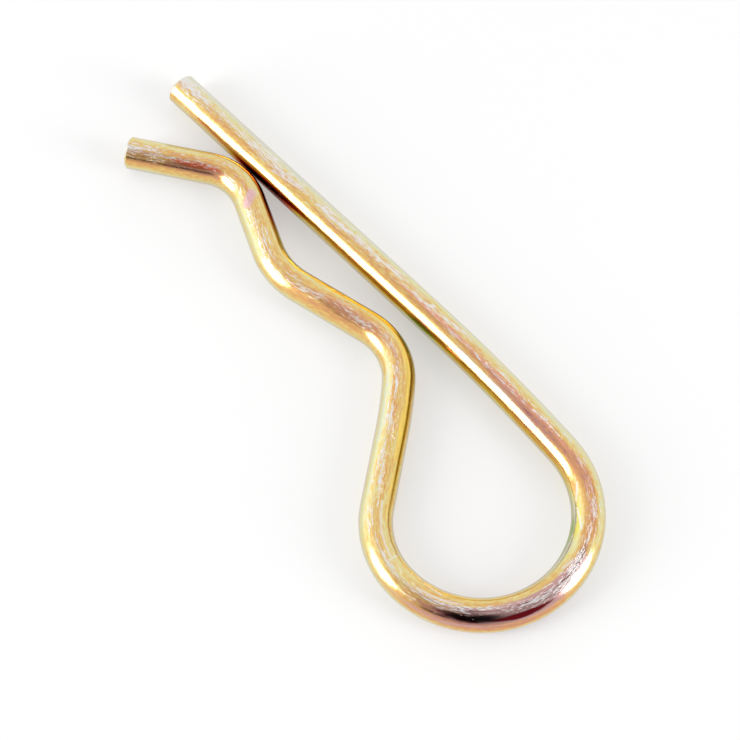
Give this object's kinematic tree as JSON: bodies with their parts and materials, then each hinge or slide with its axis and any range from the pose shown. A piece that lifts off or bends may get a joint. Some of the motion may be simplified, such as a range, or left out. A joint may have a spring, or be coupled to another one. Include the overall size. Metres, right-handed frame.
{
  "type": "hitch r clip pin",
  "caption": "Round spring wire bent flat into a straight leg, a teardrop loop and a wavy leg with neck, shaft seat, nose and flared end, in glossy iridescent yellow zinc.",
  "frame": {"origin": "centre of the round shaft that the clip locks: the point on the straight leg's centre line under the middle of the seat", "axes": "+X along the straight leg towards its free end, +Y from the straight leg to the wavy leg, +Z square to the plane of the wire, along the shaft; the clip lies flat on its side"},
  "size_m": [0.0809, 0.03, 0.004],
  "materials": {
    "yellow_zinc": "gloss"
  },
  "bodies": {
    "root": {"wire_clip": "yellow_zinc"}
  },
  "joints": []
}
